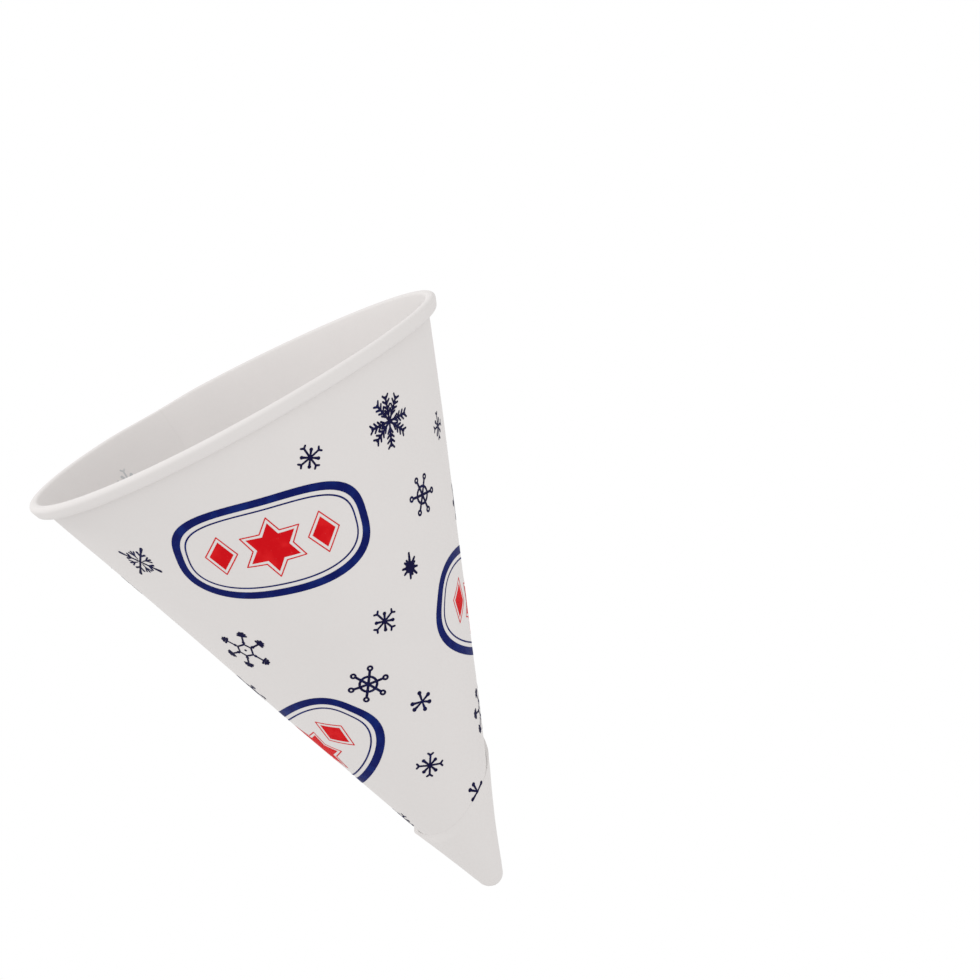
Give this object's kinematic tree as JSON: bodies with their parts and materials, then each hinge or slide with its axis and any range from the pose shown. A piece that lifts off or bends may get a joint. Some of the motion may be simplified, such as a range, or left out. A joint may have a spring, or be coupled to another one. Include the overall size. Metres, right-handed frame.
{
  "type": "cone paper cup",
  "caption": "Cone-shaped paper drinking cup, rolled from a sheet, with a curled rim, a lapped seam and a wrapped blunt point. It stands on its rim, point up.",
  "frame": {"origin": "centre of the rolled rim, on the plane that the rim stands on", "axes": "+Z along the cone's axis, from the rim to the point; -Y is the side that the picture shows"},
  "size_m": [0.084, 0.084, 0.105],
  "materials": {
    "printed_paper": "matte white paper with a dark blue and red print"
  },
  "bodies": {
    "root": {"cone_cup": "printed_paper"}
  },
  "joints": []
}
